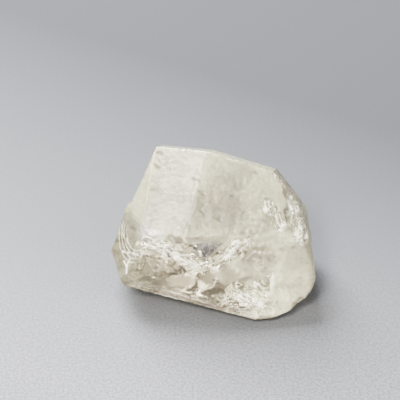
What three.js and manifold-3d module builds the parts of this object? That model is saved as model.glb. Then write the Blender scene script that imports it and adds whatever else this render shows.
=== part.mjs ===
// A rough topaz crystal: one broken, water-worn piece of a prism, as a single closed solid.
// Units are millimetres and +Z is up. The stone rests on its basal cleavage, and -Y is the side
// that the two broad prism faces turn to. The origin is under the middle of the stone.

import * as THREE from "three";
import { mergeVertices } from "three/addons/utils/BufferGeometryUtils.js";
import Module from "manifold-3d";

const wasm = await Module();
wasm.setup();

// ---- driving dimensions, in mm and degrees ----

// A direction is a bearing, where 0 is -Y and 90 is +X, and a rise above level.
// A face is cleaved square to its direction, and its reach is how far it lies from HEART.
const STOCK = 60;
const HEART = new THREE.Vector3(0, 11, 8);
const FACES = {
  prism_left: { bearing: -14, rise: 52.5, reach: 5.2 },
  prism_right: { bearing: 4, rise: 50.5, reach: 4.4 },
  side_left: { bearing: -64, rise: 38, reach: 10.5 },
  back_left: { bearing: -118, rise: 9, reach: 14.3 },
  back: { bearing: 169, rise: 0, reach: 9.2 },
  crest_left: { bearing: 172, rise: 58, reach: 13.3 },
  crest_right: { bearing: 148, rise: 58, reach: 12.6 },
  front_left: { bearing: -10, rise: 28, reach: 6.4 },
  front_right: { bearing: 8, rise: 43, reach: 5.0 },
  corner_left: { bearing: -55, rise: 23, reach: 12.8 },
  shoulder_top: { bearing: 60, rise: 50, reach: 11.0 },
  shoulder: { bearing: 74, rise: 38, reach: 12.3 },
  side_right: { bearing: 92, rise: 10, reach: 15.0 },
  crest_corner: { bearing: 98, rise: 34, reach: 13.4 },
  back_corner: { bearing: -146, rise: -8, reach: 14.6 },
  back_right: { bearing: 128, rise: -14, reach: 15.6 },
  cleavage: { bearing: 0, rise: -90, reach: 8 },
  under_front: { bearing: -31, rise: -67, reach: 9.4 },
  under_left: { bearing: -82, rise: -40, reach: 14.6 },
};

// The river has rounded the low right end. Faces touch this ellipsoid at every bearing and rise.
const WORN = {
  centre: new THREE.Vector3(6, 5.8, 5.6),
  radii: new THREE.Vector3(10.2, 10.6, 6.2),
  bearings: { from: -10, to: 90, count: 9 },
  rises: { from: -68, to: 28, count: 9 },
};

// A step drops out where two faces, each moved in by its own depth, would both cut. Topaz parts
// along its base, so most steps run level.
const STEPS = [
  { faces: ["front_left", "under_front"], depths: [0.25, 1.9] },
  { faces: ["front_left", "under_front"], depths: [0.5, 1.1] },
  { faces: ["back", "cleavage"], depths: [0.8, 4.2] },
  { faces: ["back", "cleavage"], depths: [1.5, 2.4] },
  { faces: ["back_left", "crest_left"], depths: [0.6, 9.2] },
];

// A shell is a smooth curved fracture in a face, with rings that spread from the point struck.
const SHELL_SIDES = 32;
const STEPS_PER_RING = 4;
const RIPPLE_SHARE = 0.12;
const SHELLS = {
  left: { face: "side_left", at: [-15.8, 9.8, 6.6], width: 12, depth: 0.8, rings: 4 },
  front: { face: "front_left", at: [-8.6, 4.2, 5.2], width: 8.4, depth: 0.4, rings: 2 },
  back: { face: "back", at: [3, 20.6, 9], width: 13, depth: 1.2, rings: 4 },
  low_left: { face: "back_left", at: [-14.5, 14, 3.5], width: 9, depth: 0.7, rings: 3 },
  corner: { face: "shoulder_top", at: [9.8, 15.6, 16.8], width: 3.4, depth: 0.35, rings: 1 },
};

// Flakes have broken away in rows. They are angular, no two alike, and scatter to both sides of
// their row by its spread. A flake's width and depth vary by a factor from least to most, and
// its direction by up to sway and nod.
const FLAKE = {
  fewestSides: 4, mostSides: 7, steps: 2, least: 0.6, most: 1.4, long: 1.3, short: 0.8, sway: 25, nod: 17,
};
const FLAKE_ROWS = {
  rim_left: {
    from: [-10.6, 6.0, 8.9], to: [-1.3, 3.9, 8.0], count: 18, spread: 0.5,
    width: 2.2, depth: 0.28, bearing: -8, rise: 44,
  },
  rim_right: {
    from: [-0.6, 3.9, 8.0], to: [6.2, 6.6, 9.7], count: 14, spread: 0.5,
    width: 2.2, depth: 0.26, bearing: 4, rise: 50,
  },
  above_rim_left: {
    from: [-7.6, 6.8, 10.1], to: [-2.8, 5.2, 9.0], count: 7, spread: 0.6,
    width: 1.9, depth: 0.18, bearing: -8, rise: 52,
  },
  above_rim_right: {
    from: [0.9, 5.4, 9.1], to: [4.6, 6.8, 10.2], count: 7, spread: 0.6,
    width: 1.9, depth: 0.18, bearing: 4, rise: 52,
  },
  right_edge: {
    from: [12.4, 14.0, 13.8], to: [13.4, 8.4, 10.4], count: 12, spread: 0.6,
    width: 2.4, depth: 0.4, bearing: 44, rise: 46,
  },
  lobe_crease: {
    from: [13.0, 8.6, 10.7], to: [7.0, 6.6, 9.7], count: 8, spread: 0.4,
    width: 2.0, depth: 0.22, bearing: 8, rise: 46,
  },
  foot: {
    from: [1.6, -0.2, 1.9], to: [7.6, -0.2, 2.4], count: 10, spread: 0.5,
    width: 2.0, depth: 0.22, bearing: 2, rise: 30,
  },
  above_foot: {
    from: [2.2, 1.2, 3.8], to: [6.8, 1.0, 3.9], count: 8, spread: 0.7,
    width: 1.9, depth: 0.2, bearing: 4, rise: 40,
  },
  left_crest: {
    from: [-13.4, 15.6, 12.6], to: [-10.8, 18.0, 16.6], count: 6, spread: 0.3,
    width: 1.9, depth: 0.3, bearing: -84, rise: 30,
  },
  low_rim: {
    from: [-12.0, 3.4, 2.9], to: [0.0, 0.0, 1.4], count: 10, spread: 0.2,
    width: 1.6, depth: 0.2, bearing: -14, rise: -10,
  },
};

// Etch pits are small lens-shaped dents in the prism faces, all lying along one direction.
const PIT = { length: 1.4, width: 0.35, depth: 0.12 };
const PIT_LIE = new THREE.Vector3(0.91, -0.3, -0.28);
const PITS = [
  { face: "prism_right", at: [-1.9, 10.5, 13.3] },
  { face: "prism_right", at: [0.6, 9.7, 12.5] },
  { face: "prism_right", at: [-2.4, 13.0, 15.4] },
  { face: "prism_right", at: [6.6, 15.6, 17.1] },
  { face: "prism_left", at: [-8.5, 18.6, 18.7] },
  { face: "prism_left", at: [-9.0, 16.9, 17.3] },
];

// A frosted flaw in the right prism face, of gashes side by side, each turned from their row.
const FLAW = { face: "prism_right", from: [8.7, 11.6, 13.4], to: [10.4, 9.4, 11.8], count: 5, turn: 35 };
const GASH = { length: 2.4, width: 0.7, depth: 0.25 };

// ---- solids from three.js geometry ----

const UP = new THREE.Vector3(0, 0, 1);

function solidOf(geometry) {
  const bare = geometry.clone();
  bare.deleteAttribute("normal");
  bare.deleteAttribute("uv");
  const welded = mergeVertices(bare, 1e-5);
  return new wasm.Manifold(new wasm.Mesh({
    numProp: 3,
    vertProperties: Float32Array.from(welded.attributes.position.array),
    triVerts: Uint32Array.from(welded.index.array),
  }));
}

function outward({ bearing, rise }) {
  const turn = THREE.MathUtils.degToRad(bearing);
  const lift = THREE.MathUtils.degToRad(rise);
  return new THREE.Vector3(
    Math.sin(turn) * Math.cos(lift),
    -Math.cos(turn) * Math.cos(lift),
    Math.sin(lift),
  );
}

// The nearest point on a face to the one given.
function onFace(face, at) {
  const away = outward(face);
  const point = new THREE.Vector3(...at);
  return point.addScaledVector(away, face.reach - point.clone().sub(HEART).dot(away));
}

function evenly({ from, to, count }) {
  return Array.from({ length: count }, (_, index) => from + (to - from) * index / (count - 1));
}

// Numbers from 0 to 1 in a scattered order that is the same in every run.
const SCATTER = { times: 1664525, plus: 1013904223, below: 2 ** 32 };

function seeded(seed) {
  let state = seed;
  return () => {
    state = (state * SCATTER.times + SCATTER.plus) % SCATTER.below;
    return state / SCATTER.below;
  };
}

// ---- cleaved faces, the worn end and the steps ----

function wasteBeyond(face, depth = 0) {
  const waste = new THREE.BoxGeometry(2 * STOCK, 2 * STOCK, STOCK);
  waste.translate(0, 0, STOCK / 2 + face.reach - depth);
  waste.applyQuaternion(new THREE.Quaternion().setFromUnitVectors(UP, outward(face)));
  waste.translate(...HEART);
  return solidOf(waste);
}

// A face that touches the worn ellipsoid: its reach is how far the ellipsoid swells that way.
function wornFace(bearing, rise) {
  const away = outward({ bearing, rise });
  const swell = away.clone().multiply(WORN.radii).length();
  return { bearing, rise, reach: swell + WORN.centre.clone().sub(HEART).dot(away) };
}

function wornFaces() {
  return evenly(WORN.bearings).flatMap(
    (bearing) => evenly(WORN.rises).map((rise) => wornFace(bearing, rise)),
  );
}

function cleavedBlock() {
  const block = solidOf(new THREE.BoxGeometry(STOCK, STOCK, STOCK).translate(...HEART));
  const faces = [...Object.values(FACES), ...wornFaces()];
  return faces.reduce((rest, face) => rest.subtract(wasteBeyond(face)), block);
}

function stepWaste({ faces: [first, second], depths }) {
  return wasteBeyond(FACES[first], depths[0]).intersect(wasteBeyond(FACES[second], depths[1]));
}

// ---- fractures ----

// The tool is a bowl turned about the direction of the blow. Above the rim it flares, so that a
// bowl sunk in a face breaks out in a slope and not in a wall.
const FLARE = 0.4;

function bowlTool({ width, depth, rings, sides, steps }) {
  const profile = [];
  for (let step = 0; step <= steps; step++) {
    const share = step / steps;
    const bowl = -depth * (1 - share * share);
    const ripple = depth * RIPPLE_SHARE * Math.sin(2 * Math.PI * rings * share) * (1 - share);
    profile.push(new THREE.Vector2(share * width / 2, bowl + ripple));
  }
  profile.push(new THREE.Vector2(width, FLARE * width));
  profile.push(new THREE.Vector2(0, FLARE * width));
  return new THREE.LatheGeometry(profile, sides).rotateX(Math.PI / 2);
}

function shellWaste({ face, at, rings, ...size }) {
  const tool = bowlTool({ ...size, rings, sides: SHELL_SIDES, steps: STEPS_PER_RING * rings });
  tool.applyQuaternion(new THREE.Quaternion().setFromUnitVectors(UP, outward(FACES[face])));
  return solidOf(tool.translate(...onFace(FACES[face], at)));
}

// Each random() below is a number from 0 to 1.
function flakeWaste({ at, width, depth, bearing, rise }, random) {
  const vary = () => FLAKE.least + (FLAKE.most - FLAKE.least) * random();
  const swing = (most) => most * (2 * random() - 1);
  const tool = bowlTool({
    width: width * vary(),
    depth: depth * vary(),
    rings: 0,
    sides: FLAKE.fewestSides + Math.floor((FLAKE.mostSides - FLAKE.fewestSides + 1) * random()),
    steps: FLAKE.steps,
  });
  tool.scale(FLAKE.long, FLAKE.short, 1);
  tool.rotateZ(2 * Math.PI * random());
  const blow = outward({ bearing: bearing + swing(FLAKE.sway), rise: rise + swing(FLAKE.nod) });
  tool.applyQuaternion(new THREE.Quaternion().setFromUnitVectors(UP, blow));
  return solidOf(tool.translate(...at));
}

function flakeWastes({ from, to, count, spread, ...flake }, random) {
  const start = new THREE.Vector3(...from);
  const end = new THREE.Vector3(...to);
  const sideways = end.clone().sub(start).cross(outward(flake)).normalize();
  return Array.from({ length: count }, (_, index) => {
    const at = start.clone().lerp(end, (index + random()) / count);
    at.addScaledVector(sideways, spread * (2 * random() - 1));
    return flakeWaste({ ...flake, at }, random);
  });
}

// ---- etch pits and gashes: lens-shaped dents sunk in a face ----

const DENT_SIDES = 10;

function dentWaste({ face, at, lie, length, width, depth }) {
  const up = outward(FACES[face]);
  const along = lie.clone().projectOnPlane(up).normalize();
  const across = new THREE.Vector3().crossVectors(up, along);
  const dent = new THREE.SphereGeometry(1, DENT_SIDES, DENT_SIDES / 2);
  dent.scale(length / 2, width / 2, depth);
  dent.applyMatrix4(new THREE.Matrix4().makeBasis(along, across, up));
  return solidOf(dent.translate(...onFace(FACES[face], at)));
}

function pitWastes() {
  return PITS.map((pit) => dentWaste({ ...PIT, ...pit, lie: PIT_LIE }));
}

function gashWastes({ face, from, to, count, turn }) {
  const start = new THREE.Vector3(...from);
  const end = new THREE.Vector3(...to);
  const lie = end.clone().sub(start);
  lie.applyAxisAngle(outward(FACES[face]), THREE.MathUtils.degToRad(turn));
  return evenly({ from: 0, to: 1, count }).map(
    (along) => dentWaste({ ...GASH, face, at: start.clone().lerp(end, along).toArray(), lie }),
  );
}

// ---- the stone ----

const SEED = 11;

function buildStone() {
  const random = seeded(SEED);
  const wastes = [
    ...STEPS.map(stepWaste),
    ...Object.values(SHELLS).map(shellWaste),
    ...Object.values(FLAKE_ROWS).flatMap((row) => flakeWastes(row, random)),
    ...pitWastes(),
    ...gashWastes(FLAW),
  ];
  return wastes.reduce((stone, waste) => stone.subtract(waste), cleavedBlock());
}

function geometryOf(solid) {
  const mesh = solid.getMesh();
  const geometry = new THREE.BufferGeometry();
  geometry.setAttribute("position", new THREE.BufferAttribute(new Float32Array(mesh.vertProperties), 3));
  geometry.setIndex(new THREE.BufferAttribute(new Uint32Array(mesh.triVerts), 1));
  return geometry;
}

// The origin goes under the middle of the stone, on the plane that it rests on.
function standOnOrigin(geometry) {
  geometry.computeBoundingBox();
  const { min, max } = geometry.boundingBox;
  return geometry.translate(-(min.x + max.x) / 2, -(min.y + max.y) / 2, -min.z);
}

const topaz = new THREE.MeshStandardMaterial({ color: 0xdcd6c2, roughness: 0.25, metalness: 0 });
const crystal = new THREE.Mesh(standOnOrigin(geometryOf(buildStone())), topaz);
crystal.name = "topaz_crystal";

const model = new THREE.Group();
model.add(crystal);
export default model;
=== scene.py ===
# %% [markdown]
# # A rough topaz crystal
#
# The part is one natural stone: a broken, water-worn piece of a prism. The CAD frame already
# holds its real size and its main shapes: the broad prism faces, the flaked rim, the shell
# fractures, the steps and the worn end. What is left for Blender is what the eye enjoys: the
# fine surface, the clear body with its faint champagne tint, and the flaws inside.

# %% Load the frame
import math

import bmesh
import bpy
import numpy as np
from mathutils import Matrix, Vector, noise
from mathutils.bvhtree import BVHTree
from mathutils.kdtree import KDTree


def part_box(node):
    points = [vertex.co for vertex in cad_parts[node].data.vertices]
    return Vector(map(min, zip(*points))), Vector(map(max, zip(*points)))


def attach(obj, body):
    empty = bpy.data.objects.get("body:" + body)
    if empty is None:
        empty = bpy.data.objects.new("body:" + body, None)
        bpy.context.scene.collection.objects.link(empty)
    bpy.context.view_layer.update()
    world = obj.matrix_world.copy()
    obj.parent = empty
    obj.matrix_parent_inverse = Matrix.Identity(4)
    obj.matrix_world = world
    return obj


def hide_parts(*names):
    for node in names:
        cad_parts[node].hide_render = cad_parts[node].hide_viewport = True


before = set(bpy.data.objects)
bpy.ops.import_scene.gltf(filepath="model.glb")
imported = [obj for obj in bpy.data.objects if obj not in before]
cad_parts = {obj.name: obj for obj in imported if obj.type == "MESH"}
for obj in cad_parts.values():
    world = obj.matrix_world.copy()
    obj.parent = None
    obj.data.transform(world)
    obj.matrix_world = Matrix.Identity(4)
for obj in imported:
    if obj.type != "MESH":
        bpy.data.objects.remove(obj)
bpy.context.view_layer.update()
MM = 0.001
low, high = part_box("topaz_crystal")
print("the solid is", [round((b - a) / MM, 1) for a, b in zip(low, high)], "mm")

# %% [markdown]
# ## The camera
#
# The stone is seen from a raised angle, with a long lens, so that its edges stay straight and
# its faces keep their proportions. A camera can be given a place and three angles, but an aim
# and a rise are easier to change one at a time. So the aim is a point inside the stone, and the
# camera backs away from it along the line of sight.

# %% Camera
AIM = Vector((-1.913, 1.491, 14.42)) * MM
CAMERA_RISE = math.radians(40)
CAMERA_DISTANCE = 320 * MM
LENS, SENSOR_WIDTH = 183.6, 36
CLIP_START, CLIP_END = 10 * MM, 20

camera = bpy.data.objects.new("camera", bpy.data.cameras.new("camera"))
camera.data.lens = LENS
camera.data.sensor_width = SENSOR_WIDTH
camera.data.clip_start = CLIP_START
camera.data.clip_end = CLIP_END
backward = Vector((0, -math.cos(CAMERA_RISE), math.sin(CAMERA_RISE)))
camera.location = AIM + backward * CAMERA_DISTANCE
camera.rotation_euler = (math.pi / 2 - CAMERA_RISE, 0, 0)
bpy.context.scene.collection.objects.link(camera)
bpy.context.scene.camera = camera
print("camera at", [round(v / MM) for v in camera.location], "mm")

# %% [markdown]
# ## A fine skin over the solid
#
# The CAD solid is made of few, large triangles. To carry fine relief, the surface needs small
# faces of even size all over. Subdividing would keep the long, thin triangles of the solid. A
# voxel remesh makes an even skin: it samples the solid on a grid and wraps it again in small
# quads. The CAD mesh is loose triangles, so its copy is welded before the remesh, which needs
# a closed surface.

# %% Helpers for objects and modifiers
def new_object(name, mesh):
    """An object for the mesh, at the origin."""
    made = bpy.data.objects.new(name, mesh)
    bpy.context.scene.collection.objects.link(made)
    return made


def apply_modifiers(thing):
    """Replaces the object's mesh by the one its modifiers make, and removes them."""
    evaluated = thing.evaluated_get(bpy.context.evaluated_depsgraph_get())
    finished = bpy.data.meshes.new_from_object(evaluated)
    thing.modifiers.clear()
    thing.data = finished


# %% Weld a copy of the solid and remesh it
WELD_DISTANCE = 0.001 * MM
SKIN_CELL = 0.21 * MM

welded = bmesh.new()
welded.from_mesh(bpy.data.objects["topaz_crystal"].data)
bmesh.ops.remove_doubles(welded, verts=welded.verts, dist=WELD_DISTANCE)
skin = bpy.data.meshes.new("topaz_skin")
welded.to_mesh(skin)
welded.free()

stone = new_object("topaz_stone", skin)
remesh = stone.modifiers.new("remesh", "REMESH")
remesh.mode = "VOXEL"
remesh.voxel_size = SKIN_CELL
apply_modifiers(stone)
print("skin:", len(stone.data.vertices), "points,", len(stone.data.polygons), "faces")

# %% [markdown]
# ## Landmarks
#
# Each kind of surface on the stone has its own finish: frosted, worn, flaked or clear. Most
# kinds keep to a place, such as the flaked rim below the prism faces. Such places could be
# painted by hand, but then they couldn't be checked or moved. So they are written down first,
# as paths of points in millimetres, told from a point on the floor under the stone's front.

# %% Where the paths are told from
LANDMARK_ORIGIN = np.array((0.283, -10.609, 0))
print("the landmarks' origin is at", LANDMARK_ORIGIN, "mm from the stone's own")

# %% Broken edges
RIM = [
    (-10.4, 7.0, 9.9), (-8.2, 6.3, 9.5), (-6.0, 5.5, 8.9), (-4.0, 4.8, 8.3), (-1.9, 4.2, 7.8),
    (-0.3, 4.2, 7.9), (1.1, 4.8, 8.4), (2.9, 5.8, 9.1), (4.6, 6.7, 9.7), (5.4, 7.1, 9.8),
]
RIGHT_EDGE = [(12.3, 14.0, 13.0), (13.6, 12.0, 11.6), (13.7, 8.8, 10.1)]
CHIP = [(9.6, 16.0, 16.9), (11.2, 15.2, 14.8)]
PATCH = [(8.6, 11.8, 13.8), (10.5, 9.1, 11.4)]
CREASE = [(13.4, 8.4, 10.1), (9.5, 8.0, 10.5), (7.2, 7.3, 10.0), (4.6, 6.7, 9.7)]
FOOT = [(2.2, 0.8, 3.1), (5.2, 0.9, 3.6), (7.6, 0.6, 3.0)]
FOOT_SCALE = [(4.0, 1.6, 4.0), (6.8, 0.5, 3.1)]
WEDGE = [(6.9, 2.6, 5.3), (8.4, 1.9, 4.4), (8.8, 3.3, 5.8)]
SPLINTER = [(-5.9, 5.4, 8.7), (-4.3, 4.6, 8.0), (-2.7, 4.0, 7.5)]
NOTCH = [(13.8, 1.1, 2.8), (13.0, 0.3, 1.8)]
print("the rim runs over", len(RIM), "points")

# %% Clear and stained places, the cleavage steps and the ridge between the prism faces
WINDOW_FOOT = np.array((-1.2, 4.6, 8.3))
WINDOW_WIDTH, WINDOW_HEIGHT = 6.0, 3.8
GREY_WINDOW = [(-11.3, 8.9, 11.0), (-9.8, 8.0, 10.8)]
BROWN = [(5.6, 6.2, 8.9), (8.4, 5.0, 7.8)]
LOW_EDGE = [(-12.3, 3.6, 3.0), (-6.9, 2.5, 2.6), (-3.8, 1.7, 2.1), (0.3, 0.6, 1.5), (8.0, -0.9, 1.1)]
HIGH_EDGE = [(-13.6, 4.3, 3.5), (-7.7, 3.0, 3.6), (-3.8, 2.1, 2.8), (0.2, 1.1, 2.2)]
RIDGE = [
    (-1.4, 18.4, 19.2), (-2.5, 15.7, 17.6), (-3.8, 12.6, 15.0), (-4.7, 10.1, 13.0), (-5.6, 7.2, 10.4),
]
print("the ridge falls by", round(RIDGE[0][2] - RIDGE[-1][2], 1), "mm")

# %% [markdown]
# ## Thin lines
#
# Fine lines run over the stone: old cracks that reach the surface, the rings of shell
# fractures, and cleavage steps that are seen on their edges. On the real stone they are
# hair-thin breaks. A bump map could draw them, but it wouldn't catch the light along its walls.
# So each line is a path with a half width and a strength, and it will mark both the relief and
# the finish of the skin. Where a line is curved, a bow leads it through three points.

# %% A smooth curve through three points
BOW_STEPS = 8


def bow(start, middle, end):
    """A curve that starts at start, passes middle halfway, and ends at end."""
    start, middle, end = (np.array(p) for p in (start, middle, end))
    shares = np.linspace(0, 1, BOW_STEPS + 1)[:, None]
    straight = start + shares * (end - start)
    return straight + 4 * shares * (1 - shares) * (middle - (start + end) / 2)


# %% The lines of this stone
THREADS = [
    # path, half width in mm, strength
    (bow((-9.9, 7.0, 9.7), (-11.3, 6.0, 8.6), (-11.8, 4.8, 6.0)), 0.18, 1.0),
    ([(-13.2, 7.1, 6.9), (-13.7, 6.5, 6.0), (-13.8, 4.9, 5.5)], 0.16, 1.0),
    ([(-14.2, 7.5, 5.7), (-13.8, 6.0, 5.8)], 0.16, 1.0),
    ([(-10.5, 5.6, 8.0), (-9.7, 4.9, 6.5), (-9.2, 4.6, 6.0)], 0.16, 0.6),
    ([(-10.0, 7.3, 9.9), (-8.8, 6.2, 9.1), (-7.5, 5.6, 8.4)], 0.22, 1.0),
    (bow((-5.0, 4.0, 6.9), (-4.9, 3.5, 5.9), (-5.2, 3.0, 4.9)), 0.12, 0.8),
    (bow((-14.6, 12.9, 8.5), (-14.0, 9.6, 7.2), (-12.4, 6.3, 7.8)), 0.15, 0.8),
    (bow((-13.9, 11.1, 8.0), (-13.2, 8.8, 7.5), (-11.7, 5.8, 8.2)), 0.15, 0.7),
    (bow((-15.2, 12.2, 7.2), (-14.6, 9.6, 6.6), (-13.2, 7.2, 7.0)), 0.13, 0.5),
    ([(-16.1, 10.9, 5.3), (-14.6, 9.4, 6.1), (-13.2, 7.8, 7.2), (-11.9, 6.0, 8.4)], 0.18, 0.9),
    (bow((-8.8, 18.0, 18.1), (-7.7, 16.3, 17.1), (-7.9, 14.0, 15.3)), 0.16, 0.5),
    (bow((-7.6, 18.0, 18.3), (-6.6, 16.2, 17.2), (-7.2, 13.6, 15.2)), 0.16, 0.5),
    (bow((-9.5, 16.2, 16.7), (-9.0, 14.9, 15.8), (-7.5, 13.3, 14.9)), 0.14, 0.5),
    (bow((-2.4, 15.4, 17.4), (-3.6, 11.3, 14.1), (-4.7, 7.2, 10.8)), 0.16, 0.5),
    (bow((-3.1, 11.3, 14.1), (-4.2, 8.8, 12.1), (-5.3, 6.4, 9.4)), 0.13, 0.4),
    (bow((-4.4, 13.3, 15.5), (-5.2, 11.5, 13.9), (-6.3, 8.1, 11.2)), 0.13, 0.3),
    (LOW_EDGE, 0.15, 0.7),
    (HIGH_EDGE, 0.12, 0.5),
]
print(len(THREADS), "thin lines")

# %% [markdown]
# ## Where the surface is worn, frosted, flaked or clear
#
# A point's kind is told by how near it is to the landmarks and by the way that it faces. Faces
# could be sorted into separate materials instead, but a material ends at a hard line, and
# natural stone has none. So each kind gets a mask: a number from 0 to 1 for every point of the
# skin, which fades out at its border.

# %% Points and directions of the skin
def skin_arrays(mesh):
    """The points of the mesh, in mm from the landmarks' origin, and their normals."""
    count = len(mesh.vertices)
    points = np.empty(count * 3)
    normals = np.empty(count * 3)
    mesh.vertices.foreach_get("co", points)
    mesh.vertices.foreach_get("normal", normals)
    return points.reshape(-1, 3) / MM - LANDMARK_ORIGIN, normals.reshape(-1, 3)


def direction(bearing, rise):
    """A bearing of 0 is -Y and 90 is +X; rise is above level."""
    turn, lift = math.radians(bearing), math.radians(rise)
    level = math.cos(lift)
    return np.array((math.sin(turn) * level, -math.cos(turn) * level, math.sin(lift)))


# %% Soft steps and soft directions
FULL_WITHIN = 0.6


def ramp(value, start, end):
    """0 before start, 1 after end, smooth between."""
    share = np.clip((value - start) / (end - start), 0, 1)
    return share * share * (3 - 2 * share)


def facing(normals, bearing, rise, within):
    """1 where the surface faces the direction, 0 past within degrees from it."""
    aligned = normals @ direction(bearing, rise)
    return ramp(aligned, math.cos(math.radians(within)), math.cos(math.radians(within * FULL_WITHIN)))


# %% Near a path
def along_path(points, path):
    """How far each point is from a path, how far along it that is, and the way from it, in mm."""
    nearest = np.full(len(points), np.inf)
    run = np.zeros(len(points))
    offset = np.zeros((len(points), 3))
    passed = 0.0
    path = np.array(path)
    for start, end in zip(path[:-1], path[1:]):
        length = np.linalg.norm(end - start)
        share = np.clip((points - start) @ (end - start) / length ** 2, 0, 1)
        away = points - start - share[:, None] * (end - start)
        distance = np.linalg.norm(away, axis=1)
        closer = distance < nearest
        nearest = np.where(closer, distance, nearest)
        run = np.where(closer, passed + share * length, run)
        offset = np.where(closer[:, None], away, offset)
        passed += length
    return nearest, run, offset


def near_path(points, path, radius, core):
    """0 past radius from a path of points in mm, 1 within the core, a share of the radius."""
    return 1 - ramp(along_path(points, path)[0], core * radius, radius)


# %% The window
WINDOW_BORDER = 0.1
WINDOW_FADE = (0.45 * WINDOW_HEIGHT, 0.9 * WINDOW_HEIGHT)


def window(points):
    """The clear triangle that stands on its tip in the rim's lowest point."""
    from_foot = points - WINDOW_FOOT
    up = np.linalg.norm(from_foot[:, 1:], axis=1) * np.sign(from_foot[:, 1])
    aside = np.abs(from_foot[:, 0]) / (WINDOW_WIDTH / 2)
    between_sides = ramp(up / WINDOW_HEIGHT - aside, -WINDOW_BORDER, WINDOW_BORDER)
    return between_sides * (1 - ramp(up, *WINDOW_FADE))


# %% Kinds that keep to a path
RAGGED_PLACES = {
    # kind: path, radius in mm, core
    "rim": (RIM, 1.25, 0.7),
    "right_edge": (RIGHT_EDGE, 2.0, 0.7),
    "chip": (CHIP, 1.0, 0.5),
    "patch": (PATCH, 1.2, 0.6),
    "crease": (CREASE, 1.3, 0.35),
    "foot": (FOOT, 2.2, 0.5),
    "foot_scale": (FOOT_SCALE, 1.3, 0.6),
    "wedge": (WEDGE, 1.0, 0.6),
    "brown": (BROWN, 2.6, 0.3),
    "grey_window": (GREY_WINDOW, 1.9, 0.1),
}
EVEN_PLACES = {
    "splinter": (SPLINTER, 0.75, 0.5),
    "notch": (NOTCH, 1.0, 0.5),
    "ridge": (RIDGE, 3.0, 0.0),
    "low_steps": (LOW_EDGE, 1.8, 0.6),
}
print(len(RAGGED_PLACES), "kinds have a ragged outline,", len(EVEN_PLACES), "an even one")

# %% Kinds that are told by the way the surface faces
FACES = {
    # kind: bearing, rise and width, in degrees
    "prism": (-5, 51, 24),
    "prism_top": (-5, 51, 50),
    "left_side": (-64, 34, 34),
    "front": (-10, 28, 30),
    "crest": (165, 58, 30),
}
# Each range is where a kind begins and where it is full.
PRISM_FOOT_Z = (9.4, 10.6)
FRONT_END_X = (3, 7)
WORN_START_X, WORN_TOP_Z = (6.5, 9.5), (9.0, 11.0)
LEFT_END_X, LEFT_TOP_Z = (-15.5, -13.0), (9, 13)
TURNED_BACK, TURNED_UP, TURNED_DOWN = (0.3, 0.6), (0.5, 0.8), (0.6, 0.9)
TURNED_LEFT = (0.02, 0.12)
print(len(FACES), "kinds face a direction")

# %% Ragged outlines, and masks put together
WOBBLE, WOBBLE_SIZE = 0.55, 1.3
# Without a seed, the offsets of Blender's vector noise come from the clock at its start.
OUTLINE_SEED = 1795515870
noise.seed_set(OUTLINE_SEED)


def shifted_a_little(points):
    """The points after a small random move: what is told from them has a ragged outline."""
    return points + WOBBLE * np.array([noise.noise_vector(Vector(p)) for p in points / WOBBLE_SIZE])


def any_of(kinds, *names):
    """The largest of some masks, point by point."""
    return np.maximum.reduce([kinds[name] for name in names])


# %% Masks
FLAKED_FOOT, FLAKED_BROWN = 0.8, 0.5
THREAD_SPREAD, THREAD_CORE = 1.6, 0.3


def masks(points, normals):
    """How much of each kind every point is, from 0 to 1."""
    x, z = points[:, 0], points[:, 2]
    ragged = shifted_a_little(points)
    kinds = {kind: near_path(ragged, *place) for kind, place in RAGGED_PLACES.items()}
    kinds.update({kind: near_path(points, *place) for kind, place in EVEN_PLACES.items()})
    kinds.update({kind: facing(normals, *face) for kind, face in FACES.items()})

    kinds["window"] = window(points)
    kinds["prism"] = np.maximum(kinds["prism"], kinds["prism_top"] * ramp(z, *PRISM_FOOT_Z))
    kinds["left_face"] = kinds["prism"] * ramp(-normals[:, 0], *TURNED_LEFT)
    kinds["left_top"] = kinds["left_side"] * ramp(z, *LEFT_TOP_Z)
    kinds["left_end"] = 1 - ramp(x, *LEFT_END_X)
    kinds["front"] = kinds["front"] * (1 - ramp(x, *FRONT_END_X))
    kinds["worn"] = ramp(x, *WORN_START_X) * (1 - ramp(z, *WORN_TOP_Z))
    kinds["back"] = ramp(normals[:, 1], *TURNED_BACK) * (1 - ramp(normals[:, 2], *TURNED_UP))
    kinds["base"] = ramp(-normals[:, 2], *TURNED_DOWN)

    kinds["glint"] = any_of(kinds, "right_edge", "chip", "patch", "foot_scale")
    kinds["flaked"] = np.maximum.reduce([
        any_of(kinds, "rim", "right_edge", "chip", "patch"),
        FLAKED_FOOT * kinds["foot"],
        FLAKED_BROWN * kinds["brown"],
    ])
    kinds["thread"] = np.maximum.reduce([
        strength * near_path(points, path, THREAD_SPREAD * half_width, THREAD_CORE)
        for path, half_width, strength in THREADS
    ])
    return kinds


points, normals = skin_arrays(stone.data)
kinds = masks(points, normals)
for kind in ("prism", "worn", "rim", "window"):
    print(kind, "covers", round(100 * float(kinds[kind].mean()), 1), "% of the points")

# %% [markdown]
# ## More points where there is more to see
#
# The river rounded every facet of the worn end, so the skin is smoothed there, many times over,
# and only a little elsewhere. The flaked zones and the thin lines need detail of a tenth of a
# millimetre, and the rest does not. A finer remesh would quadruple every face for the sake of a
# few, so the skin is divided once more in those zones alone.

# %% Smooth the skin, most of all on the worn end
SMOOTH_FACTOR = 0.5
SMOOTH_PASSES, WEAR_PASSES = 2, 16
ROLLED_FROM = 0.5


def smoothed(mesh, verts, passes):
    """Moves each point halfway to the middle of its neighbours, a number of times."""
    for _ in range(passes):
        bmesh.ops.smooth_vert(
            mesh, verts=verts, factor=SMOOTH_FACTOR,
            use_axis_x=True, use_axis_y=True, use_axis_z=True,
        )


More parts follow.
